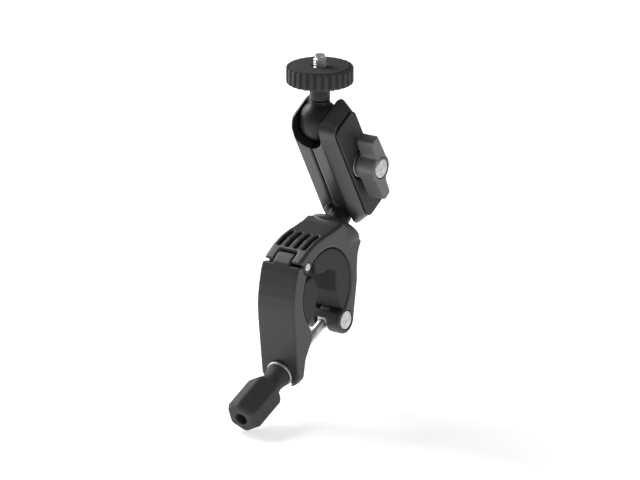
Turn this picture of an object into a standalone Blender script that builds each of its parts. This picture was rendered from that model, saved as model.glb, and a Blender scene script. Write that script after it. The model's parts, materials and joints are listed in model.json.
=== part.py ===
"""Bar mount for a phone holder: a hinged bar clamp, a double ball arm and a screw head.

Lengths are in millimetres and become metres (MM) when a mesh is made. The origin is on
the axis of the bar that the clamp holds, halfway along the clamp's width. +Y runs along
the bar, +Z is up, and every joint lies in the XZ plane when the mount is at rest.
"""
import math

import bmesh
import bpy
from mathutils import Matrix, Vector

MM = 0.001
GAP = 0.3                    # clearance between two pieces that meet
WELD = 1e-7                  # metres, for points that coincide

# Bar clamp
CLAMP_WIDTH = 21.0           # along the bar
SEAT_RADIUS = 20.4           # round seat of the rubber pads
JAW_WALL = 6.0               # fixed jaw outside the seat, on the right
HINGE = (-15.8, 15.8)        # hinge pin, x and z
HINGE_PIN_RADIUS = 2.0
LUG_RADIUS = 3.5             # rounded end of the fixed jaw's hinge lugs
KNUCKLE_RADIUS = 4.6
KNUCKLE_WIDTH = 9.5
HINGE_REACH = 8.0            # hinge pin to the jaws' outer surface
LUG_END = 157.0              # degrees round the pin where the lugs end
SHOULDER_START = 168.0       # degrees round the pin where the swing jaw starts
KNUCKLE_END = 107.0          # degrees round the pin where the knuckle ends
PIVOT = (16.5, -19.9)        # bolt pivot pin, x and z
PIVOT_PIN_RADIUS = 4.6
BOSS_RADIUS = 6.9
CLEVIS_SLOT = 6.2            # slot between the clevis prongs
GRIP_HALF = 7.7              # from the bar axis to each pad's inner face
VENT_COUNT = 4
VENT_PITCH = 4.8
VENT_WIDTH = 2.1
VENT_LENGTH = 13.2
VENT_DEPTH = 3.4
VENT_AT = (-9.0, 25.9)       # middle of the vents on the outer surface, x and z
VENT_LEAN = -16.0            # degrees from upright, across the vents

# Ball stud on the fixed jaw
STUD_LEAN = 44.2             # degrees from upright, towards +X
RIM_HEIGHT = 33.4            # along the stud from the bar axis
RIM_RADIUS = 12.6
BALL_RADIUS = 10.0
NECK_RADIUS = 5.0
LOWER_BALL_HEIGHT = 49.8     # along the stud from the bar axis
STUD_SCREW_RADIUS = 2.5

# Eye bolt and clamp knob, measured from the pivot pin along the bolt
BOLT_LEAN = -112.5           # degrees from upright
BOLT_RADIUS = 2.5
BOLT_SWING = 6.5             # degrees the bolt rises as the clamp opens
EYE_RADIUS = 6.0
EYE_WIDTH = 5.6
SEAT_REACH = 43.4            # to the washer seat on the swing jaw
WASHER_RADIUS = 6.8
WASHER_THICKNESS = 1.6
KNOB_NECK = 10.0             # length of the trumpet neck
KNOB_BODY = 24.0             # length of the hexagonal body
KNOB_RADIUS = 9.5            # to the hexagon's corners
KNOB_BORE = 3.1

# Double ball arm
ARM_LEAN = -29.7             # degrees from upright
ARM_SPAN = 51.5              # ball centre to ball centre
SHELL_HALF_WIDTH = 12.6
SHELL_OVERHANG = 8.2         # shell end beyond the ball centre
SHELL_SEAM = 0.45            # half of the gap between the shells
SHELL_WALL_TOP = 7.6         # straight side wall, out from the seam
SHELL_FACE = 14.0            # near shell's outer face, out from the seam
FAR_FACE = 11.7              # far shell's outer face, out from the seam
FAR_HALF_WIDTH = 5.9         # of the far shell's outer face
FAR_HALF_LENGTH = 27.5
SHELL_CORNER = 6.2
CHANNEL_WIDTH = 15.3
CHANNEL_DEPTH = 6.8          # below the ball centre
PLATE_HALF_WIDTH = 8.8
PLATE_HALF_LENGTH = 28.4
PLATE_THICKNESS = 1.1
FAR_PLATE_THICKNESS = 0.8
ARM_SCREW_RADIUS = 2.5
ARM_SCREW_HEAD = 4.7         # to the corners of its hexagon
SPRING_RADIUS = 5.0
SPRING_WIRE = 1.0

# Wing knob
HUB_RADIUS = 6.9
HUB_RECESS = 7.8
WING_START = 17.1            # wings' inner side, out from the seam
WING_END = 26.7              # wings' outer side
WING_CAP_RADIUS = 5.0

# Screw head
STEM_RADIUS = 4.9 
STEM_TOP = 18.5              # above the upper ball's centre
WHEEL_RADIUS = 16.0
WHEEL_HEIGHT = 8.1
WHEEL_GROOVES = 28
WHEEL_CHAMFER = 0.9
PAD_RADIUS = 14.4
PAD_THICKNESS = 1.4
TRIPOD_SCREW_RADIUS = 3.175  # quarter-inch screw
TRIPOD_SCREW_PROUD = 5.6

MATERIALS = {
    "jaw_metal": ((0.055, 0.055, 0.058), 0.55, 0.3),
    "pad_rubber": ((0.03, 0.03, 0.031), 0.85, 0.0),
    "steel": ((0.62, 0.62, 0.63), 0.25, 1.0),
    "knob_plastic": ((0.045, 0.045, 0.047), 0.6, 0.0),
    "shell_metal": ((0.1, 0.1, 0.105), 0.35, 0.7),
    "plate_plastic": ((0.035, 0.035, 0.036), 0.5, 0.0),
    "ball_metal": ((0.02, 0.02, 0.021), 0.35, 0.4),
    "wing_metal": ((0.16, 0.16, 0.165), 0.4, 0.6),
    "brass": ((0.6, 0.42, 0.16), 0.3, 1.0),
    "wheel_plastic": ((0.05, 0.05, 0.052), 0.5, 0.0),
}


def clear_scene():
    for obj in list(bpy.data.objects):
        bpy.data.objects.remove(obj, do_unlink=True)


def new_collection(name):
    collection = bpy.data.collections.new(name)
    bpy.context.scene.collection.children.link(collection)
    return collection


clear_scene()
PARTS = new_collection("phone_mount")
CUTTERS = new_collection("cutters")


def material(slot):
    """The Principled material for one finish, made once."""
    if slot in bpy.data.materials:
        return bpy.data.materials[slot]
    color, roughness, metallic = MATERIALS[slot]
    made = bpy.data.materials.new(slot)
    made.use_nodes = True
    shader = made.node_tree.nodes["Principled BSDF"]
    shader.inputs["Base Color"].default_value = (*color, 1.0)
    shader.inputs["Roughness"].default_value = roughness
    shader.inputs["Metallic"].default_value = metallic
    return made


def frame(x=0.0, z=0.0, lean=0.0, y=0.0):
    """A place in the XZ plane whose local Z leans from upright, about Y."""
    return Matrix.Translation(Vector((x, y, z)) * MM) @ Matrix.Rotation(math.radians(lean), 4, "Y")


def sideways(matrix):
    """The same place with its local Z turned to point along -Y."""
    return matrix @ Matrix.Rotation(math.radians(90), 4, "X")


def lengthways(matrix):
    """The same place with its local X, Y and Z along the old Y, Z and X."""
    return matrix @ Matrix.Rotation(math.radians(90), 4, "Z") @ Matrix.Rotation(math.radians(90), 4, "X")


def up(matrix, distance):
    return matrix @ Matrix.Translation((0.0, 0.0, distance * MM))


def add(name, mesh, matrix, slot=None):
    """Link an object: a part if it has a material slot, otherwise a cutter."""
    obj = bpy.data.objects.new(name, mesh)
    obj.matrix_world = matrix
    if slot:
        mesh.materials.append(material(slot))
        PARTS.objects.link(obj)
    else:
        CUTTERS.objects.link(obj)
        obj.hide_render = True
        obj.display_type = "WIRE"
    return obj


def arc(center, radius, start, end, steps):
    """Points on an arc, with angles in degrees from the first axis."""
    angles = [math.radians(start + (end - start) * k / steps) for k in range(steps + 1)]
    return [(center[0] + radius * math.cos(a), center[1] + radius * math.sin(a)) for a in angles]


def rounded(corners, steps=4):
    """Outline through corners (x, y, radius), each rounded by an arc."""
    points = []
    for i, (x, y, radius) in enumerate(corners):
        corner = Vector((x, y))
        back = (Vector(corners[i - 1][:2]) - corner).normalized()
        ahead = (Vector(corners[(i + 1) % len(corners)][:2]) - corner).normalized()
        half = back.angle(ahead) / 2
        center = corner + (back + ahead).normalized() * (radius / math.sin(half))
        reach = radius / math.tan(half)
        first = corner + back * reach - center
        last = corner + ahead * reach - center
        start = math.degrees(math.atan2(first.y, first.x))
        turn = math.degrees(math.atan2(last.y, last.x)) - start
        turn = (turn + 180) % 360 - 180
        points += arc(center, radius, start, start + turn, steps)
    return points


def hexagon(radius):
    return arc((0, 0), radius, 0, 300, 5)


def rectangle(half_x, half_y, radius, steps=4):
    corners = [(-half_x, -half_y), (half_x, -half_y), (half_x, half_y), (-half_x, half_y)]
    return rounded([(x, y, radius) for x, y in corners], steps)


def plate(name, outline, low, high, matrix, slot=None):
    """A flat outline, filled and extruded from low to high along its local Z."""
    curve = bpy.data.curves.new(name, "CURVE")
    curve.dimensions = "2D"
    curve.fill_mode = "BOTH"
    curve.extrude = (high - low) / 2 * MM
    spline = curve.splines.new("POLY")
    spline.points.add(len(outline) - 1)
    for point, (x, y) in zip(spline.points, outline):
        point.co = (x * MM, y * MM, 0.0, 1.0)
    spline.use_cyclic_u = True
    flat = bpy.data.objects.new(name + "_outline", curve)
    CUTTERS.objects.link(flat)
    evaluated = flat.evaluated_get(bpy.context.evaluated_depsgraph_get())
    mesh = bpy.data.meshes.new_from_object(evaluated)
    bpy.data.objects.remove(flat)
    work = bmesh.new()
    work.from_mesh(mesh)
    bmesh.ops.remove_doubles(work, verts=work.verts, dist=WELD)
    bmesh.ops.translate(work, verts=work.verts, vec=(0.0, 0.0, (low + high) / 2 * MM))
    bmesh.ops.dissolve_limit(work, angle_limit=0.01, verts=work.verts, edges=work.edges)
    bmesh.ops.recalc_face_normals(work, faces=work.faces)
    work.to_mesh(mesh)
    work.free()
    mesh.name = name
    return add(name, mesh, matrix, slot)


def stepped(name, outline, levels, matrix, slot=None):
    """An outline lofted through levels (height, scale x, scale y) and capped."""
    work = bmesh.new()
    rings = [[work.verts.new((x * sx * MM, y * sy * MM, height * MM)) for x, y in outline]
             for height, sx, sy in levels]
    for lower, upper in zip(rings, rings[1:]):
        for k in range(len(outline)):
            work.faces.new((lower[k - 1], lower[k], upper[k], upper[k - 1]))
    work.faces.new(rings[0])
    work.faces.new(rings[-1])
    bmesh.ops.recalc_face_normals(work, faces=work.faces)
    mesh = bpy.data.meshes.new(name)
    work.to_mesh(mesh)
    work.free()
    return add(name, mesh, matrix, slot)


def turned(name, profile, matrix, slot=None, steps=32, ring=False):
    """A profile of (radius, height), down its outer side, turned about local Z."""
    mesh = bpy.data.meshes.new(name)
    edges = [(k, k + 1) for k in range(len(profile) - 1)]
    if ring:
        edges.append((len(profile) - 1, 0))
    mesh.from_pydata([(r * MM, 0.0, h * MM) for r, h in profile], edges, [])
    obj = add(name, mesh, matrix, slot)
    turn = obj.modifiers.new("Turn", "SCREW")
    turn.axis = "Z"
    turn.steps = steps
    turn.render_steps = steps
    turn.use_merge_vertices = True
    turn.merge_threshold = 1e-5
    turn.use_smooth_shade = True
    return obj


def rod(name, radius, low, high, matrix, slot=None, steps=24, chamfer=0.0):
    """A plain pin or drill along local Z, with small end chamfers on a part."""
    profile = [(0.0, high), (radius - chamfer, high), (radius, high - chamfer),
               (radius, low + chamfer), (radius - chamfer, low), (0.0, low)]
    if not chamfer:
        profile = [(0.0, high), (radius, high), (radius, low), (0.0, low)]
    return turned(name, profile, matrix, slot, steps)


def combine(obj, tool, operation="DIFFERENCE"):
    boolean = obj.modifiers.new(tool.name, "BOOLEAN")
    boolean.operation = operation
    boolean.solver = "EXACT"
    boolean.object = tool


def round_edges(obj, width, segments=2, limit=40.0):
    bevel = obj.modifiers.new("Round", "BEVEL")
    bevel.width = width * MM
    bevel.segments = segments
    bevel.limit_method = "ANGLE"
    bevel.angle_limit = math.radians(limit)
    return obj


AXIS = frame()
HINGE_AT = frame(*HINGE)
PIVOT_AT = frame(*PIVOT)
STUD_AT = frame(lean=STUD_LEAN)
BOLT_AT = frame(*PIVOT, lean=BOLT_LEAN)
LOWER_BALL_AT = up(STUD_AT, LOWER_BALL_HEIGHT)
ARM_START = LOWER_BALL_AT.translation / MM
ARM_AT = up(frame(ARM_START.x, ARM_START.z, ARM_LEAN), ARM_SPAN / 2)
UPPER_BALL = up(ARM_AT, ARM_SPAN / 2).translation / MM
HEAD_AT = frame(UPPER_BALL.x, UPPER_BALL.z)
HALF_WIDTH = CLAMP_WIDTH / 2
JAW_EDGE = 1.4               # rounding of the jaws' outer edges


# ---- Clamp: fixed jaw, swing jaw, pads and pins

def round_hinge(radius, degrees):
    """A point at an angle round the hinge pin."""
    return arc(HINGE, radius, degrees, degrees, 1)[0]


def fixed_jaw_outline():
    outer = [round_hinge(HINGE_REACH, LUG_END), (-19.6, 21.2), (-15.3, 23.7), (-9.0, 26.1), (-2.5, 27.4),
             (3.5, 28.0), (9.6, 28.8), (14.2, 30.2)]
    slope = [(30.1, 16.5), (28.2, 13.9), (26.9, 10.6)]
    wall = arc((0, 0), SEAT_RADIUS + JAW_WALL, 6, -8, 3)
    boss = arc(PIVOT, BOSS_RADIUS, 2, -225, 14)
    seat = arc((0, 0), SEAT_RADIUS, -47, 127, 26)
    lug = arc(HINGE, LUG_RADIUS, -20, LUG_END - 360, 10)
    return outer + slope + wall + boss + seat + lug


def make_fixed_jaw():
    jaw = plate("fixed_jaw", fixed_jaw_outline(), -HALF_WIDTH, HALF_WIDTH, sideways(AXIS), "jaw_metal")
    round_edges(jaw, JAW_EDGE)
    root = SEAT_RADIUS + 0.6
    horn = turned("ball_boss", [(0, RIM_HEIGHT), (RIM_RADIUS - 1, RIM_HEIGHT), (RIM_RADIUS, RIM_HEIGHT - 1),
                                (RIM_RADIUS, RIM_HEIGHT - 2), (11.6, 29.8), (10.8, 27.6), (10.0, 25.0),
                                (9.4, 23.0), (9.0, root), (0, root)], STUD_AT)
    combine(jaw, horn, "UNION")
    vent = rectangle(VENT_LENGTH / 2, VENT_WIDTH / 2, VENT_WIDTH / 2 - 0.01, 3)
    for k in range(VENT_COUNT):
        y = (k - (VENT_COUNT - 1) / 2) * VENT_PITCH
        slot = plate(f"vent_{k + 1}", vent, -VENT_DEPTH, 6, frame(*VENT_AT, VENT_LEAN, y))
        combine(jaw, slot)
    knuckle_room = KNUCKLE_WIDTH / 2 + GAP
    room = arc(HINGE, KNUCKLE_RADIUS + 0.6, -160, 96, 14) + arc(HINGE, 14, 96, 200, 5)
    combine(jaw, plate("knuckle_room", room, -knuckle_room, knuckle_room, sideways(AXIS)))
    raised = 90 - BOLT_LEAN - BOLT_SWING
    slot_side = arc(PIVOT, BOLT_RADIUS + 0.5, raised - 90, raised - 90, 1)[0]
    slot_mouth = arc(slot_side, 14, raised, raised, 1)[0]
    room = arc(PIVOT, EYE_RADIUS + GAP, -64, raised - 28.4, 18)
    room += [slot_mouth] + arc(PIVOT, 14, raised, 296, 6)
    combine(jaw, plate("bolt_room", room, -CLEVIS_SLOT / 2, CLEVIS_SLOT / 2, sideways(AXIS)))
    combine(jaw, rod("hinge_bore", HINGE_PIN_RADIUS + GAP, -20, 20, sideways(HINGE_AT)))
    combine(jaw, rod("pivot_bore", PIVOT_PIN_RADIUS + GAP, -20, 20, sideways(PIVOT_AT)))
    combine(jaw, turned("stud_bore", [(0, 40), (STUD_SCREW_RADIUS + GAP, 40), (STUD_SCREW_RADIUS + GAP, 25),
                                      (4.8, 25), (4.8, 10), (0, 10)], STUD_AT, steps=24))


def make_fixed_pad():
    radius = SEAT_RADIUS - GAP
    inner = [(-9.6, 12.6), (-8.2, 9.9), (-4.6, 9.9), (-2.5, 9.2), (1.0, 9.9), (5.0, 9.7),
             (GRIP_HALF, 7.6), (GRIP_HALF, -3.2), (13.2, -12.4)]
    outline = arc((0, 0), radius, -45, 122, 24) + inner
    pad = plate("fixed_jaw_pad", outline, -HALF_WIDTH + 0.4, HALF_WIDTH - 0.4, sideways(AXIS), "pad_rubber")
    round_edges(pad, 0.5, 1)


def make_swing_jaw():
    outer = [round_hinge(HINGE_REACH, SHOULDER_START), (-25.3, 14.0), (-26.9, 7.6), (-27.9, 2.0), (-28.2, -3.0),
             (-27.8, -10.0), (-26.4, -22.0), (-24.9, -34.0), (-23.9, -41.0)]
    tip = [(-23.2, -43.0), (-21.6, -42.6), (-20.0, -40.2)]
    inner = [(-19.3, -37.3), (-17.8, -30.0), (-11.7, -20.4)]
    seat = arc((0, 0), SEAT_RADIUS, 226, 148, 14)
    nest = arc(HINGE, LUG_RADIUS + 0.6, 265, SHOULDER_START, 8)
    outline = outer + tip + inner + seat + nest
    jaw = plate("swing_jaw", outline, -HALF_WIDTH, HALF_WIDTH, sideways(AXIS), "jaw_metal")
    round_edges(jaw, JAW_EDGE)
    crown = [round_hinge(6.6, KNUCKLE_END), (-20.3, 20.9), (-23.6, 18.2)]
    knuckle_outline = arc(HINGE, KNUCKLE_RADIUS, -75, KNUCKLE_END, 10) + crown + [(-23.6, 11.2), (-17.9, 10.1)]
    knuckle = plate("knuckle", knuckle_outline, -KNUCKLE_WIDTH / 2, KNUCKLE_WIDTH / 2, sideways(AXIS))
    combine(jaw, knuckle, "UNION")
    foot = [(12.5, 60), (-12.5, 60), (-12.5, -34.0), (-10.4, -38.6), (-8.6, -41.2), (-6.2, -42.8),
            (6.2, -42.8), (8.6, -41.2), (10.4, -38.6), (12.5, -34.0)]
    combine(jaw, plate("foot_shape", foot, -60, 60, lengthways(AXIS)), "INTERSECT")
    combine(jaw, rod("knuckle_bore", HINGE_PIN_RADIUS + GAP, -20, 20, sideways(HINGE_AT)))
    half_slot = BOLT_RADIUS + 0.8
    slot = [(-half_slot, 5.0), (half_slot, 5.0), (half_slot, -26.0), (-half_slot, -26.0)]
    along_jaw = up(BOLT_AT, SEAT_REACH - 3) @ Matrix.Rotation(math.radians(90), 4, "Y")
    combine(jaw, plate("bolt_slot", slot, -20, 20, lengthways(along_jaw)))
    combine(jaw, rod("washer_recess", WASHER_RADIUS + 1.0, SEAT_REACH, SEAT_REACH + 12, BOLT_AT))


def make_swing_pad():
    radius = SEAT_RADIUS - GAP
    inner = [(-9.4, -8.2), (-GRIP_HALF - 0.2, -2.6), (-GRIP_HALF, 4.0), (-10.8, 9.6), (-15.4, 9.4)]
    outline = arc((0, 0), radius, 155, 223, 12) + inner
    pad = plate("swing_jaw_pad", outline, -HALF_WIDTH + 0.4, HALF_WIDTH - 0.4, sideways(AXIS), "pad_rubber")
    round_edges(pad, 0.5, 1)


def make_clamp_pins():
    reach = HALF_WIDTH - 0.2
    rod("hinge_pin", HINGE_PIN_RADIUS, -reach, reach, sideways(HINGE_AT), "steel", 20, 0.3)
    rod("bolt_pivot_pin", PIVOT_PIN_RADIUS, -reach, reach, sideways(PIVOT_AT), "steel", 28, 0.4)


# ---- Ball stud

def ball_profile(neck_radius, low):
    """Sphere at height 0 with a neck below it that ends at low."""
    start = math.degrees(math.asin(neck_radius / BALL_RADIUS))
    ball = [(BALL_RADIUS * math.sin(math.radians(a)), BALL_RADIUS * math.cos(math.radians(a)))
            for a in [(180 - start) * k / 14 for k in range(15)]]
    return ball + [(neck_radius, low)]


def make_lower_ball():
    foot = RIM_HEIGHT + GAP - LOWER_BALL_HEIGHT
    bore = STUD_SCREW_RADIUS + GAP
    profile = ball_profile(NECK_RADIUS, foot) + [(bore, foot), (bore, -5.0), (0, -5.0)]
    turned("lower_ball", profile, LOWER_BALL_AT, "ball_metal")
    top = LOWER_BALL_HEIGHT - 5.6
    head = 24.6
    turned("ball_stud_screw", [(0, top), (STUD_SCREW_RADIUS, top), (STUD_SCREW_RADIUS, head), (4.4, head),
                               (4.4, 20.6), (0, 20.6)], STUD_AT, "steel", 20)


# ---- Eye bolt, washer and clamp knob

WASHER_TOP = SEAT_REACH + GAP + WASHER_THICKNESS
KNOB_START = WASHER_TOP + GAP
KNOB_END = KNOB_START + KNOB_NECK + KNOB_BODY


def make_eye_bolt():
    bolt = rod("eye_bolt", EYE_RADIUS, -EYE_WIDTH / 2, EYE_WIDTH / 2, sideways(PIVOT_AT), "steel", 28, 0.6)
    combine(bolt, rod("bolt_shank", BOLT_RADIUS, 2, KNOB_END - 9, BOLT_AT, steps=20), "UNION")
    combine(bolt, rod("eye_bore", PIVOT_PIN_RADIUS + GAP, -9, 9, sideways(PIVOT_AT)))


def make_washer():
    bore = BOLT_RADIUS + GAP
    top = WASHER_TOP
    low = SEAT_REACH + GAP
    turned("thrust_washer", [(bore, top), (WASHER_RADIUS - 0.4, top), (WASHER_RADIUS, top - 0.4),
                             (WASHER_RADIUS, low), (bore, low)], BOLT_AT, "steel", 32, ring=True)


def make_clamp_knob():
    start = KNOB_START + KNOB_NECK
    corners = rounded([(x, y, 2.2) for x, y in hexagon(KNOB_RADIUS)], 3)
    levels = [(start - 0.5, 0.68, 0.68), (start + 1.0, 0.88, 0.88), (start + 3.0, 1.0, 1.0),
              (KNOB_END - 3.4, 1.0, 1.0), (KNOB_END - 1.2, 0.88, 0.88), (KNOB_END, 0.7, 0.7)]
    knob = stepped("clamp_knob", corners, levels, BOLT_AT, "knob_plastic")
    neck = turned("knob_neck", [(0, start + 2), (6.6, start + 2), (5.6, start - 2), (5.2, start - 4.5),
                                (5.6, start - 7), (6.4, KNOB_START), (0, KNOB_START)], BOLT_AT)
    combine(knob, neck, "UNION")
    combine(knob, rod("knob_hole", KNOB_BORE, KNOB_START - 5, KNOB_END + 5, BOLT_AT))
    combine(knob, rod("insert_room", 4.3, KNOB_START - 5, KNOB_START + 14, BOLT_AT))
    bore = BOLT_RADIUS + GAP
    turned("knob_insert", [(bore, KNOB_START + 13.6), (4.0, KNOB_START + 13.6), (4.0, KNOB_START + 0.4),
                           (bore, KNOB_START + 0.4)], BOLT_AT, "brass", 20, ring=True)


# ---- Arm shells and what joins them

def make_shell(name, sign):
    """One half of the arm: sign -1 is the near half, on -Y, and 1 the far half."""
    half_length = ARM_SPAN / 2 + SHELL_OVERHANG
    outline = rectangle(SHELL_HALF_WIDTH, half_length, SHELL_CORNER, 5)
    if sign < 0:
        steps = [(SHELL_FACE, PLATE_HALF_WIDTH + 0.5, PLATE_HALF_LENGTH + 0.5)]
    else:
        steps = [(9.4, 9.6, half_length - 1.0), (FAR_FACE, FAR_HALF_WIDTH, FAR_HALF_LENGTH)]
    levels = [(-SHELL_SEAM * sign, 1, 1), (-SHELL_WALL_TOP * sign, 1, 1)]
    levels += [(-y * sign, wide / SHELL_HALF_WIDTH, long / half_length) for y, wide, long in steps]
    shell = stepped(name, outline, levels, sideways(ARM_AT), "shell_metal")
    for end in (-1, 1):
        ball_at = up(ARM_AT, end * ARM_SPAN / 2)
        radius = BALL_RADIUS + GAP + 0.1
        socket = [(radius * math.sin(math.radians(a)), radius * math.cos(math.radians(a)))
                  for a in range(0, 181, 12)]
        combine(shell, turned(f"{name}_socket_{end}", socket, ball_at, steps=30))
        half = CHANNEL_WIDTH / 2
        floor = ARM_SPAN / 2 - CHANNEL_DEPTH + half
        bowl = [(y, end * z) for y, z in arc((0, floor), half, 180, 360, 12)]
        channel = bowl + [(half, end * 40.0), (-half, end * 40.0)]
        combine(shell, plate(f"{name}_channel_{end}", channel, -20, 20, lengthways(ARM_AT)))
    combine(shell, rod(f"{name}_bore", ARM_SCREW_RADIUS + GAP, -20, 20, sideways(ARM_AT)))
    spring_room = SPRING_RADIUS + SPRING_WIRE / 2 + 0.5
    combine(shell, rod(f"{name}_spring_room", spring_room, -4.4, 4.4, sideways(ARM_AT)))
    return shell


def make_arm():
    far = make_shell("far_shell", 1)
    make_shell("near_shell", -1)
    combine(far, plate("head_room", hexagon(ARM_SCREW_HEAD + GAP), -20, -7.9, sideways(ARM_AT)))
    low = FAR_FACE + GAP
    outline = rectangle(FAR_HALF_WIDTH - 1.0, FAR_HALF_LENGTH - 1.5, 2.4)
    far_plate = plate("far_cover_plate", outline, -low - FAR_PLATE_THICKNESS, -low, sideways(ARM_AT),
                      "plate_plastic")
    low = SHELL_FACE + GAP
    outline = rectangle(PLATE_HALF_WIDTH, PLATE_HALF_LENGTH, 3.4)
    near_plate = plate("near_cover_plate", outline, low, low + PLATE_THICKNESS, sideways(ARM_AT),
                       "plate_plastic")
    round_edges(far_plate, 0.2, 1)
    round_edges(near_plate, 0.3, 1)
    combine(near_plate, rod("hub_recess", HUB_RECESS, 5, 25, sideways(ARM_AT), steps=32))
    screw = plate("arm_screw", hexagon(ARM_SCREW_HEAD), -11.3, -8.2, sideways(ARM_AT), "steel")
    shank = rod("arm_screw_shank", ARM_SCREW_RADIUS, -9, WING_END - 4.4, sideways(ARM_AT), steps=20)
    combine(screw, shank, "UNION")
    make_spring()
    washer_low = SHELL_FACE + GAP
    bore = ARM_SCREW_RADIUS + GAP
    turned("knob_washer", [(bore, washer_low + 1), (6.5, washer_low + 1), (6.5, washer_low), (bore, washer_low)],
           sideways(ARM_AT), "steel", 28, ring=True)


def make_spring():
    """Open coil that parts the shells when the wing knob is loosened."""
    turns = 4
    per_turn = 10
    reach = 3.4
    curve = bpy.data.curves.new("arm_spring", "CURVE")
    curve.dimensions = "3D"
    curve.bevel_depth = SPRING_WIRE / 2 * MM
    curve.bevel_resolution = 1
    curve.use_fill_caps = True
    spline = curve.splines.new("POLY")
    count = turns * per_turn
    spline.points.add(count)
    for k, point in enumerate(spline.points):
        a = 2 * math.pi * k / per_turn
        height = -reach + 2 * reach * k / count
        point.co = (SPRING_RADIUS * math.cos(a) * MM, SPRING_RADIUS * math.sin(a) * MM, height * MM, 1)
    coil = bpy.data.objects.new("coil", curve)
    CUTTERS.objects.link(coil)
    mesh = bpy.data.meshes.new_from_object(coil.evaluated_get(bpy.context.evaluated_depsgraph_get()))
    bpy.data.objects.remove(coil)
    work = bmesh.new()
    work.from_mesh(mesh)
    bmesh.ops.remove_doubles(work, verts=work.verts, dist=WELD)
    bmesh.ops.recalc_face_normals(work, faces=work.faces)
    work.to_mesh(mesh)
    work.free()
    add("arm_spring", mesh, sideways(ARM_AT), "steel")


def make_wing_knob():
    wing = [(-4.6, 7.0, 2.0), (-8.0, 14.0, 1.4), (-3.3, 17.3, 1.4), (4.4, 5.2, 3.0)]
    corners = wing + [(-x, -y, r) for x, y, r in wing]
    center = ARM_AT.translation / MM
    at = sideways(frame(center.x, center.z))
    knob = plate("wing_knob", rounded(corners, 3), WING_START, WING_END, at, "wing_metal")
    round_edges(knob, 0.7)
    foot = SHELL_FACE + 2 * GAP + 1.0 + GAP
    combine(knob, rod("wing_hub", HUB_RADIUS, foot, WING_END + 0.1, at, steps=32, chamfer=0.7), "UNION")
    nut_end = WING_END - 3.6
    combine(knob, rod("nut_room", 4.6, 0, nut_end, at))
    combine(knob, rod("cap_room", WING_CAP_RADIUS + GAP, WING_END - 2.4, WING_END + 5, at))
    bore = ARM_SCREW_RADIUS + GAP
    turned("wing_knob_nut", [(bore, nut_end - GAP), (4.3, nut_end - GAP), (4.3, foot + 0.4), (bore, foot + 0.4)],
           at, "brass", 20, ring=True)
    rod("wing_knob_cap", WING_CAP_RADIUS, WING_END - 2.1, WING_END + 0.4, at, "steel", 28, 0.5)


# ---- Upper ball, stem, screw and thumb wheel

def make_head():
    spigot = 2.9
    neck_top = 10.2
    bore = spigot + GAP
    ball = [(r, -h) for r, h in reversed(ball_profile(STEM_RADIUS, -neck_top))]
    profile = [(0, 3.6), (bore, 3.6), (bore, neck_top)] + ball
    turned("upper_ball", profile, HEAD_AT, "ball_metal")
    low = neck_top + GAP
    hole = TRIPOD_SCREW_RADIUS + GAP
    turned("upper_stem", [(0, low + 0.6), (hole, low + 0.6), (hole, STEM_TOP), (STEM_RADIUS, STEM_TOP),
                          (STEM_RADIUS, low), (spigot, low), (spigot, 4.0), (0, 4.0)], HEAD_AT, "ball_metal", 28)
    wheel_low = STEM_TOP + GAP
    wheel_top = wheel_low + WHEEL_HEIGHT
    rod("camera_screw", TRIPOD_SCREW_RADIUS, low + 0.9, wheel_top + TRIPOD_SCREW_PROUD, HEAD_AT, "steel", 24, 0.5)
    make_wheel(wheel_low, wheel_top, hole)


def make_wheel(low, top, hole):
    outline = []
    for k in range(WHEEL_GROOVES):
        for share, radius in ((0.0, WHEEL_RADIUS), (0.45, WHEEL_RADIUS), (0.6, WHEEL_RADIUS - 0.5), (0.85, WHEEL_RADIUS - 0.5)):
            a = 2 * math.pi * (k + share) / WHEEL_GROOVES
            outline.append((radius * math.cos(a), radius * math.sin(a)))
    edge = 1 - WHEEL_CHAMFER / WHEEL_RADIUS
    levels = [(low, edge, edge), (low + WHEEL_CHAMFER, 1, 1), (top - WHEEL_CHAMFER, 1, 1), (top, edge, edge)]
    wheel = stepped("thumb_wheel", outline, levels, HEAD_AT, "wheel_plastic")
    floor = top - PAD_THICKNESS - 0.1
    combine(wheel, rod("pad_room", PAD_RADIUS + GAP, floor, top + 5, HEAD_AT, steps=40))
    combine(wheel, rod("insert_room_wheel", 5.8, low - 5, top + 5, HEAD_AT))
    turned("wheel_insert", [(hole, floor), (5.5, floor), (5.5, low + 0.4), (hole, low + 0.4)],
           HEAD_AT, "brass", 24, ring=True)
    turned("wheel_top_pad", [(hole + 0.2, top + 0.3), (PAD_RADIUS, top + 0.3), (PAD_RADIUS, floor + GAP),
                             (hole + 0.2, floor + GAP)], HEAD_AT, "pad_rubber", 40, ring=True)


make_fixed_jaw()
make_fixed_pad()
make_swing_jaw()
make_swing_pad()
make_clamp_pins()
make_lower_ball()
make_eye_bolt()
make_washer()
make_clamp_knob()
make_arm()
make_wing_knob()
make_head()
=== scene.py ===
"""Looks of the bar mount: soft castings, turned and threaded steel, moulded plastic and rubber."""

import json
import math

import bmesh
import bpy
from mathutils import Matrix, Vector


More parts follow.
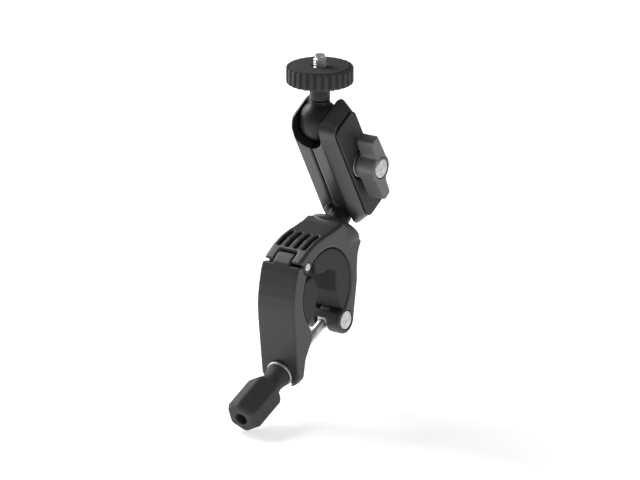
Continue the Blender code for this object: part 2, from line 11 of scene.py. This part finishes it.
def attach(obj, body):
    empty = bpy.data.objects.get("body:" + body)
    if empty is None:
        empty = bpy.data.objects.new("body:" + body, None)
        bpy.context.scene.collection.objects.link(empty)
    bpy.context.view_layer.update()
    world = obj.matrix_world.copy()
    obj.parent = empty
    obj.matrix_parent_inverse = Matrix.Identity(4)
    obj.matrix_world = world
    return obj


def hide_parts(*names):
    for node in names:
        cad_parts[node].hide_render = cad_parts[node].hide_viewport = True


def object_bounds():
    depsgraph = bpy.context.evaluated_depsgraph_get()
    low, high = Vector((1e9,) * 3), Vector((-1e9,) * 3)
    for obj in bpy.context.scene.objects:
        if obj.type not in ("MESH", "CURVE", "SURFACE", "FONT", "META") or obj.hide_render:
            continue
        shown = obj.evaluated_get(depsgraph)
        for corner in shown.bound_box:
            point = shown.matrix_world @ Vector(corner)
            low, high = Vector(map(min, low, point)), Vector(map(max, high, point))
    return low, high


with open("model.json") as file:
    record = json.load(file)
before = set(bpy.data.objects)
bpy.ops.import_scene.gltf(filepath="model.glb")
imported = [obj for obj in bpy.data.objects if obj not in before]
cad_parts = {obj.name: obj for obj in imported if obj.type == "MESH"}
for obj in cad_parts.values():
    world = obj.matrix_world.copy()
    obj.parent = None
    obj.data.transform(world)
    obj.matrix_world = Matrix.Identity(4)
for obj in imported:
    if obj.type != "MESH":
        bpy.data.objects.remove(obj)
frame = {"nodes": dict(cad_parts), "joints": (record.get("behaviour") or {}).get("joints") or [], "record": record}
cad_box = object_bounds()

MM = 0.001
WELD = 1e-6                   # metres, for points that coincide
ROUND_STEPS = 96              # faces round a turned piece
SHANK_STEPS = 48              # faces round a thin shank
THREAD_STEPS = 40             # faces in one turn of a thread
THREAD_DEPTH = 0.55           # of a thread's pitch
CREASE = math.radians(38)     # edges sharper than this stay crisp
BALL_RADIUS = 10.0            # mm
RUNNING_GAP = 0.3             # mm, round a pin or under a collar
WASHER_HOLE = 2.8             # mm, radius of both washers' holes
JOINTS = {joint["name"]: joint for joint in frame["joints"]}
BODY_OF = {node: body for body, nodes in frame["record"]["behaviour"]["bodies"].items() for node in nodes}


# ---- Places, taken from the part's own joints

def place(joint, direction=None):
    """The place of a joint, with local Z along its axis or along another direction."""
    axis = Vector(direction or JOINTS[joint]["axis"]).normalized()
    turn = Vector((0, 0, 1)).rotation_difference(axis).to_matrix().to_4x4()
    return Matrix.Translation(JOINTS[joint]["pos_m"]) @ turn


OUTWARD = (0, -1, 0)
HINGE_AT = place("jaw_swing", OUTWARD)
PIVOT_AT = place("bolt_pivot", OUTWARD)
BOLT_AT = place("clamp_knob_spin")
STUD_AT = place("lower_swivel")
ARM_AT = place("wing_knob_spin")
HEAD_AT = place("head_swivel")


def measure(node, at):
    """A CAD node's lowest height, highest height and largest radius about a place's local Z, in mm."""
    back = at.inverted()
    points = [back @ v.co / MM for v in frame["nodes"][node].data.vertices]
    heights = [p.z for p in points]
    return min(heights), max(heights), max(p.xy.length for p in points)


# ---- Making pieces

def show(name, work, at, node, finish):
    """Link a finished mesh as the piece that stands for a CAD node."""
    work.transform(at)
    mesh = bpy.data.meshes.new(name)
    work.to_mesh(mesh)
    work.free()
    mesh.shade_smooth()
    mesh.set_sharp_from_angle(angle=CREASE)
    piece = bpy.data.objects.new(name, mesh)
    bpy.context.scene.collection.objects.link(piece)
    mesh.materials.append(bpy.data.materials[finish])
    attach(piece, BODY_OF[node])
    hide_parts(node)
    return piece


def eased(corners, steps=5):
    """Points through corners (x, y, rounding), with each corner eased by its rounding."""
    points = []
    for k, (x, y, ease) in enumerate(corners):
        corner = Vector((x, y))
        if not ease:
            points.append((x, y))
            continue
        before = corner + (Vector(corners[k - 1][:2]) - corner).normalized() * ease
        after = corner + (Vector(corners[(k + 1) % len(corners)][:2]) - corner).normalized() * ease
        for step in range(steps + 1):
            t = step / steps
            points.append(tuple(before.lerp(corner, t).lerp(corner.lerp(after, t), t)))
    return points


def spin_profile(work, profile, ring=False, steps=ROUND_STEPS):
    """Spin a profile of (radius, height) in mm once about Z."""
    verts = [work.verts.new((r * MM, 0, h * MM)) for r, h in profile]
    edges = [work.edges.new(pair) for pair in zip(verts, verts[1:])]
    if ring:
        edges.append(work.edges.new((verts[-1], verts[0])))
    bmesh.ops.spin(work, geom=verts + edges, cent=(0, 0, 0), axis=(0, 0, 1), angle=2 * math.pi,
                   steps=steps, use_merge=True)
    bmesh.ops.remove_doubles(work, verts=work.verts, dist=WELD)
    bmesh.ops.recalc_face_normals(work, faces=work.faces)


def turned(name, profile, at, node, finish, ring=False):
    work = bmesh.new()
    spin_profile(work, profile, ring)
    show(name, work, at, node, finish)


def add_thread(work, radius, pitch, low, high):
    """A helical ridge from height low to high, on a core a ridge's depth smaller than radius."""
    turns = (high - low) / pitch
    root = radius - THREAD_DEPTH * pitch - 0.05
    foot, crest = pitch * 0.46, pitch * 0.08
    ridge = [(root, -foot), (radius, -crest), (radius, crest), (root, foot)]
    verts = [work.verts.new((r * MM, 0, (low + h) * MM)) for r, h in ridge]
    face = work.faces.new(verts)
    steps = int(THREAD_STEPS * turns)
    before = set(work.faces)
    bmesh.ops.spin(work, geom=[face], cent=(0, 0, 0), axis=(0, 0, 1), angle=2 * math.pi * turns,
                   steps=steps, dvec=(0, 0, (high - low) / steps * MM))
    ridge_faces = [f for f in work.faces if f not in before] + [face]
    bmesh.ops.recalc_face_normals(work, faces=ridge_faces)


def merged_copy(node):
    """A bmesh of a CAD node with its loose triangles joined."""
    work = bmesh.new()
    work.from_mesh(frame["nodes"][node].data)
    bmesh.ops.remove_doubles(work, verts=work.verts, dist=WELD)
    return work


def melted(name, node, finish, voxel, passes):
    """A CAD node's own shape with its edges melted, as on a casting or a moulding."""
    work = merged_copy(node)
    mesh = bpy.data.meshes.new(name)
    work.to_mesh(mesh)
    work.free()
    rough = bpy.data.objects.new(name + "_rough", mesh)
    bpy.context.scene.collection.objects.link(rough)
    grid = rough.modifiers.new("Grid", "REMESH")
    grid.mode = "VOXEL"
    grid.voxel_size = voxel * MM
    relax = rough.modifiers.new("Relax", "SMOOTH")
    relax.factor = 0.5
    relax.iterations = passes
    work = bmesh.new()
    work.from_object(rough, bpy.context.evaluated_depsgraph_get())
    bpy.data.objects.remove(rough)
    piece = show(name, work, Matrix.Identity(4), node, finish)
    piece.data.shade_smooth()
    return piece


def beveled(name, node, finish, width):
    """A CAD node's own shape with a fine rounded edge."""
    work = merged_copy(node)
    bmesh.ops.dissolve_limit(work, angle_limit=math.radians(1), verts=work.verts, edges=work.edges)
    sharp = [e for e in work.edges if e.calc_face_angle(0) > math.radians(35)]
    bmesh.ops.bevel(work, geom=sharp, offset=width * MM, affect="EDGES", segments=3, profile=0.5,
                    material=-1, clamp_overlap=True)
    show(name, work, Matrix.Identity(4), node, finish)


# ---- Materials: all patterns are in metres on Object coordinates

def new_material(name, metallic, specular=0.5, coat=0.0):
    made = bpy.data.materials.new(name)
    made.use_nodes = True
    shader = made.node_tree.nodes["Principled BSDF"]
    shader.inputs["Metallic"].default_value = metallic
    shader.inputs["Specular IOR Level"].default_value = specular
    shader.inputs["Coat Weight"].default_value = coat
    shader.inputs["Coat Roughness"].default_value = 0.3
    return made.node_tree, shader


def grain(tree, size, detail=4.0, stretch=(1, 1, 1)):
    """A noise whose spots are about size mm across."""
    where = tree.nodes.new("ShaderNodeTexCoord")
    scaled = tree.nodes.new("ShaderNodeMapping")
    scaled.inputs["Scale"].default_value = stretch
    noise = tree.nodes.new("ShaderNodeTexNoise")
    noise.inputs["Scale"].default_value = 1 / (size * MM)
    noise.inputs["Detail"].default_value = detail
    tree.links.new(where.outputs["Object"], scaled.inputs["Vector"])
    tree.links.new(scaled.outputs["Vector"], noise.inputs["Vector"])
    return noise.outputs["Fac"]


def spread(tree, value, low, high):
    """A noise's middle range spread from low to high."""
    node = tree.nodes.new("ShaderNodeMapRange")
    node.inputs["From Min"].default_value = 0.3
    node.inputs["From Max"].default_value = 0.7
    node.inputs["To Min"].default_value = low
    node.inputs["To Max"].default_value = high
    tree.links.new(value, node.inputs["Value"])
    return node.outputs["Result"]


def tint(tree, shader, value, dark, light):
    """Base colour that varies from dark to light with a noise."""
    ramp = tree.nodes.new("ShaderNodeValToRGB")
    ramp.color_ramp.elements[0].position = 0.3
    ramp.color_ramp.elements[0].color = (*dark, 1)
    ramp.color_ramp.elements[1].position = 0.7
    ramp.color_ramp.elements[1].color = (*light, 1)
    tree.links.new(value, ramp.inputs["Fac"])
    tree.links.new(ramp.outputs["Color"], shader.inputs["Base Color"])


def emboss(tree, shader, layers):
    """Bump from layers of (noise, depth in mm), one on another."""
    normal = None
    for value, depth in layers:
        bump = tree.nodes.new("ShaderNodeBump")
        bump.inputs["Strength"].default_value = 1.0
        bump.inputs["Distance"].default_value = depth * MM
        tree.links.new(value, bump.inputs["Height"])
        if normal:
            tree.links.new(normal, bump.inputs["Normal"])
        normal = bump.outputs["Normal"]
    tree.links.new(normal, shader.inputs["Normal"])


def coated(name, dark, light, rough, metallic, specular, size, depth, coat=0.0):
    """Paint, anodising or plastic with fine grain, cloudy roughness and slight colour drift."""
    tree, shader = new_material(name, metallic, specular, coat)
    tint(tree, shader, grain(tree, 9, 3), dark, light)
    tree.links.new(spread(tree, grain(tree, 2.4, 6), *rough), shader.inputs["Roughness"])
    emboss(tree, shader, [(grain(tree, size, 3), depth), (grain(tree, 6, 2), depth * 1.6)])


def steel(name, center=None):
    """Bright turned steel. Given a center, its brushing runs in rings about a sideways axis."""
    tree, shader = new_material(name, 1.0)
    tint(tree, shader, grain(tree, 3, 4), (0.42, 0.42, 0.43), (0.62, 0.62, 0.63))
    tree.links.new(spread(tree, grain(tree, 1.2, 6), 0.2, 0.36), shader.inputs["Roughness"])
    emboss(tree, shader, [(grain(tree, 0.3, 3, (1, 6, 1)), 0.004)])
    if center is None:
        return
    shader.inputs["Anisotropic"].default_value = 0.85
    where = tree.nodes.new("ShaderNodeTexCoord")
    offset = tree.nodes.new("ShaderNodeVectorMath")
    offset.operation = "SUBTRACT"
    offset.inputs[1].default_value = center
    around = tree.nodes.new("ShaderNodeVectorMath")
    around.operation = "CROSS_PRODUCT"
    around.inputs[1].default_value = (0, 1, 0)
    tangent = tree.nodes.new("ShaderNodeVectorTransform")
    tangent.vector_type = "VECTOR"
    tangent.convert_from = "OBJECT"
    tangent.convert_to = "WORLD"
    tree.links.new(where.outputs["Object"], offset.inputs[0])
    tree.links.new(offset.outputs["Vector"], around.inputs[0])
    tree.links.new(around.outputs["Vector"], tangent.inputs["Vector"])
    tree.links.new(tangent.outputs["Vector"], shader.inputs["Tangent"])


def brass():
    tree, shader = new_material("brass", 1.0)
    tint(tree, shader, grain(tree, 4, 4), (0.55, 0.37, 0.13), (0.68, 0.48, 0.2))
    tree.links.new(spread(tree, grain(tree, 1.0, 5), 0.22, 0.4), shader.inputs["Roughness"])
    emboss(tree, shader, [(grain(tree, 0.3, 3), 0.004)])


def make_materials():
    def grey(level):
        return (level, level, level * 1.03)

    coated("jaw_metal", grey(0.014), grey(0.02), (0.3, 0.4), 0.0, 0.6, 0.35, 0.012, 0.1)
    coated("pad_rubber", grey(0.02), grey(0.027), (0.55, 0.7), 0.0, 0.35, 0.25, 0.02)
    coated("knob_plastic", grey(0.014), grey(0.02), (0.34, 0.46), 0.0, 0.5, 0.22, 0.016)
    coated("shell_metal", grey(0.035), grey(0.047), (0.26, 0.36), 0.4, 0.7, 0.3, 0.008, 0.1)
    coated("plate_plastic", grey(0.035), grey(0.045), (0.45, 0.58), 0.0, 0.45, 0.2, 0.01)
    coated("ball_metal", grey(0.008), grey(0.013), (0.28, 0.38), 0.0, 0.45, 0.3, 0.006)
    coated("wing_metal", grey(0.16), grey(0.21), (0.28, 0.38), 0.6, 0.5, 0.25, 0.008)
    coated("wheel_plastic", grey(0.024), grey(0.032), (0.4, 0.52), 0.0, 0.5, 0.22, 0.012)
    steel("steel")
    steel("pin_end_steel", PIVOT_AT.translation)
    steel("wing_cap_steel", ARM_AT.translation)
    brass()


# ---- Clamp

def make_jaws():
    melted("cast_fixed_jaw", "fixed_jaw", "jaw_metal", 0.42, 5)
    melted("cast_swing_jaw", "swing_jaw", "jaw_metal", 0.4, 5)
    melted("rubber_fixed_pad", "fixed_jaw_pad", "pad_rubber", 0.35, 3)
    melted("rubber_swing_pad", "swing_jaw_pad", "pad_rubber", 0.35, 3)


def make_pin(name, node, at, finish):
    """A pin with a turned edge and a fine centre dimple at its high end along its axis; the low end is flat."""
    low, high, radius = measure(node, at)
    dimple = min(0.8, radius * 0.2)
    profile = eased([(0, high - 0.25, 0), (dimple, high - 0.05, 0.1), (dimple + 0.1, high, 0.05),
                     (radius, high, 0.45), (radius, low, 0.45), (0, low, 0)])
    turned(name, profile, at, node, finish)


def make_bolt():
    """The eye round the pivot pin, and the threaded shank that runs out of it."""
    eye_low, eye_high, _ = measure("eye_bolt", PIVOT_AT)
    _, shank_end, _ = measure("eye_bolt", BOLT_AT)
    pin = measure("bolt_pivot_pin", PIVOT_AT)[2] + RUNNING_GAP
    eye, shank, core, pitch = 6.0, 2.5, 2.08, 0.8
    plain_start, plain_end, thread_start = 5.2, 13, 13.4
    work = bmesh.new()
    spin_profile(work, eased([(pin, eye_low, 0.2), (eye, eye_low, 0.9), (eye, eye_high, 0.9),
                              (pin, eye_high, 0.2)], 4), ring=True)
    work.transform(BOLT_AT.inverted() @ PIVOT_AT)
    spin_profile(work, [(0, eye), (core, eye), (core, shank_end - 0.6), (core - 0.5, shank_end),
                        (0, shank_end)], steps=SHANK_STEPS)
    spin_profile(work, [(0, plain_start), (shank, plain_start), (shank, plain_end), (core, plain_end + 0.6),
                        (0, plain_end + 0.6)], steps=SHANK_STEPS)
    add_thread(work, shank, pitch, thread_start, shank_end - pitch)
    show("threaded_eye_bolt", work, BOLT_AT, "eye_bolt", "steel")


def make_washer(name, node, at):
    low, high, radius = measure(node, at)
    profile = eased([(WASHER_HOLE, low, 0.15), (radius, low, 0.25), (radius, high, 0.4),
                     (WASHER_HOLE, high, 0.15)], 3)
    turned(name, profile, at, node, "steel", ring=True)


def make_clamp():
    make_jaws()
    make_pin("turned_hinge_pin", "hinge_pin", HINGE_AT, "steel")
    make_pin("turned_pivot_pin", "bolt_pivot_pin", PIVOT_AT, "pin_end_steel")
    make_bolt()
    make_washer("turned_thrust_washer", "thrust_washer", BOLT_AT)
    melted("moulded_clamp_knob", "clamp_knob", "knob_plastic", 0.3, 5)


# ---- Balls, arm and wing knob

def make_ball(name, node, at, sign, neck):
    """A smooth ball whose neck leaves it towards sign along local Z."""
    low, high, _ = measure(node, at)
    end = high if sign > 0 else low
    steps = 40
    start = math.degrees(math.asin(neck / BALL_RADIUS)) + 3
    angles = [math.radians(start + (180 - start) * k / steps) for k in range(steps + 1)]
    ball = [(BALL_RADIUS * math.sin(a), sign * BALL_RADIUS * math.cos(a)) for a in angles]
    ball[-1] = (0, ball[-1][1])
    throat = sign * BALL_RADIUS * math.cos(math.asin(neck / BALL_RADIUS))
    profile = [(0, end), (neck - 0.3, end), (neck, end - sign * 0.3), (neck, throat + sign * 0.8)] + ball
    turned(name, profile, at, node, "ball_metal")


def make_arm():
    melted("cast_near_shell", "near_shell", "shell_metal", 0.4, 5)
    melted("cast_far_shell", "far_shell", "shell_metal", 0.4, 5)
    beveled("near_plate", "near_cover_plate", "plate_plastic", 0.15)
    beveled("far_plate", "far_cover_plate", "plate_plastic", 0.15)
    make_washer("turned_knob_washer", "knob_washer", ARM_AT)
    melted("cast_wing_knob", "wing_knob", "wing_metal", 0.26, 4)
    low, high, radius = measure("wing_knob_cap", ARM_AT)
    profile = eased([(0, high, 0), (radius - 1.0, high - 0.05, 0.4), (radius, high - 0.5, 0.3),
                     (radius, low, 0.1), (0, low, 0)])
    turned("spun_wing_cap", profile, ARM_AT, "wing_knob_cap", "wing_cap_steel")


# ---- Head

def make_stem():
    """The stem above the upper ball, with a hole for the screw and a thin journal inside the ball."""
    low, high, _ = measure("upper_stem", HEAD_AT)
    collar = measure("upper_ball", HEAD_AT)[1] + RUNNING_GAP
    hole, stem, journal = 3.475, 4.9, 2.9
    hole_floor = collar + 0.6
    profile = eased([(0, hole_floor, 0), (hole, hole_floor, 0), (hole, high, 0.2), (stem, high, 0.4),
                     (stem, collar, 0.4), (journal, collar, 0.2), (journal, low, 0.2), (0, low, 0)], 3)
    turned("turned_stem", profile, HEAD_AT, "upper_stem", "ball_metal")


def make_camera_screw():
    low, high, radius = measure("camera_screw", HEAD_AT)
    pitch = 25.4 / 20
    core = radius - THREAD_DEPTH * pitch
    work = bmesh.new()
    spin_profile(work, [(0, high), (core - 0.1, high), (core, high - 0.2), (core, low), (0, low)],
                 steps=SHANK_STEPS)
    add_thread(work, radius, pitch, low + pitch / 2, high - pitch * 0.75)
    show("threaded_camera_screw", work, HEAD_AT, "camera_screw", "steel")


def make_wheel():
    """The lock wheel: a turned cup whose side has round-bottomed vertical grooves."""
    low, high, radius = measure("thumb_wheel", HEAD_AT)
    hub_hole, wall, fade = 5.8, 1.3, 0.9
    grooves, groove_depth, steps_a_groove = 28, 1.15, 12
    inner = radius - wall
    floor = high - 1.5
    profile = eased([(hub_hole, low, 0.2), (radius, low, 1.0), (radius, high, 1.0), (inner, high, 0.2),
                     (inner, floor, 0.1), (hub_hole, floor, 0.1)], 4)
    work = bmesh.new()
    spin_profile(work, profile, ring=True, steps=grooves * steps_a_groove)
    for vert in work.verts:
        reach = vert.co.xy.length / MM
        if reach < inner:
            continue
        wave = max(0.0, math.cos(math.atan2(vert.co.y, vert.co.x) * grooves)) ** 0.5
        edge = min(1.0, (reach - inner) / fade)
        vert.co.xy *= 1 - groove_depth * wave * edge / reach
    show("grooved_wheel", work, HEAD_AT, "thumb_wheel", "wheel_plastic")


def make_wheel_pad():
    low, high, radius = measure("wheel_top_pad", HEAD_AT)
    hole = 3.675
    profile = eased([(hole, low, 0.1), (radius, low, 0.1), (radius, high, 0.3), (hole + 0.9, high, 0.2),
                     (hole, high - 0.3, 0.1)], 3)
    turned("rubber_wheel_pad", profile, HEAD_AT, "wheel_top_pad", "pad_rubber", ring=True)


def make_head():
    make_ball("turned_upper_ball", "upper_ball", HEAD_AT, 1, 4.9)
    make_stem()
    make_camera_screw()
    make_wheel()
    make_wheel_pad()


def finish_hidden_nodes():
    """The CAD nodes that stay get the finish of their slot."""
    slots = {part["node"]: part["material_slot"] for part in frame["record"]["subparts"]}
    for name, node in frame["nodes"].items():
        node.data.materials.clear()
        node.data.materials.append(bpy.data.materials[slots[name]])


# ---- Stage, lights and camera

def make_floor(level):
    half_width, drop, glow = 12.0, 0.0005, 0.62
    work = bmesh.new()
    bmesh.ops.create_grid(work, x_segments=2, y_segments=2, size=half_width)
    mesh = bpy.data.meshes.new("floor")
    work.to_mesh(mesh)
    work.free()
    floor = bpy.data.objects.new("floor", mesh)
    floor.location.z = level - drop
    bpy.context.scene.collection.objects.link(floor)
    tree, shader = new_material("pale_floor", 0.0, 0.0)
    tint(tree, shader, grain(tree, 400, 1), (0.9, 0.9, 0.9), (0.93, 0.93, 0.93))
    shader.inputs["Roughness"].default_value = 1.0
    shader.inputs["Emission Color"].default_value = (1, 1, 1, 1)
    shader.inputs["Emission Strength"].default_value = glow
    mesh.materials.append(bpy.data.materials["pale_floor"])


def make_light(name, where, target, size, power):
    lamp = bpy.data.lights.new(name, "AREA")
    lamp.shape = "RECTANGLE"
    lamp.size, lamp.size_y = size
    lamp.energy = power
    holder = bpy.data.objects.new(name, lamp)
    holder.location = where
    holder.rotation_euler = (Vector(target) - Vector(where)).to_track_quat("-Z", "Y").to_euler()
    bpy.context.scene.collection.objects.link(holder)


def make_world(strength):
    world = bpy.data.worlds.new("studio")
    world.use_nodes = True
    world.node_tree.nodes["Background"].inputs["Color"].default_value = (1, 1, 1, 1)
    world.node_tree.nodes["Background"].inputs["Strength"].default_value = strength
    bpy.context.scene.world = world


def make_camera():
    """A long lens from the left front, a little above the object."""
    azimuth, elevation, distance = math.radians(-55.8), math.radians(18.5), 3.38624
    right = Vector((math.cos(azimuth), math.sin(azimuth), 0))
    back = Vector((math.sin(azimuth) * math.cos(elevation), -math.cos(azimuth) * math.cos(elevation),
                   math.sin(elevation)))
    up = back.cross(right)
    target = right * 0.00524 + up * 0.0219
    lens = bpy.data.cameras.new("camera")
    lens.lens = 400
    lens.sensor_width = 36
    lens.clip_end = 30
    camera = bpy.data.objects.new("camera", lens)
    turn = Matrix((right, up, back)).transposed().to_4x4()
    camera.matrix_world = Matrix.Translation(target + back * distance) @ turn
    bpy.context.scene.collection.objects.link(camera)
    bpy.context.scene.camera = camera
    return right, up, back, target


def make_studio():
    make_floor(cad_box[0].z)
    right, up, back, target = make_camera()

    def beside(x, y, z):
        return target + right * x + up * y + back * z

    make_light("key", beside(-0.55, 0.7, -0.25), target, (0.45, 0.45), 6.5)
    make_light("rim", beside(-0.8, 0.15, -0.45), target, (0.12, 0.7), 3.5)
    make_light("front", beside(0.75, 0.3, 0.7), target, (0.2, 0.6), 0.8)
    make_world(0.2)
    bpy.context.scene.view_settings.view_transform = "Standard"


make_materials()
make_clamp()
make_ball("turned_lower_ball", "lower_ball", STUD_AT, -1, 5.0)
make_arm()
make_head()
finish_hidden_nodes()
make_studio()
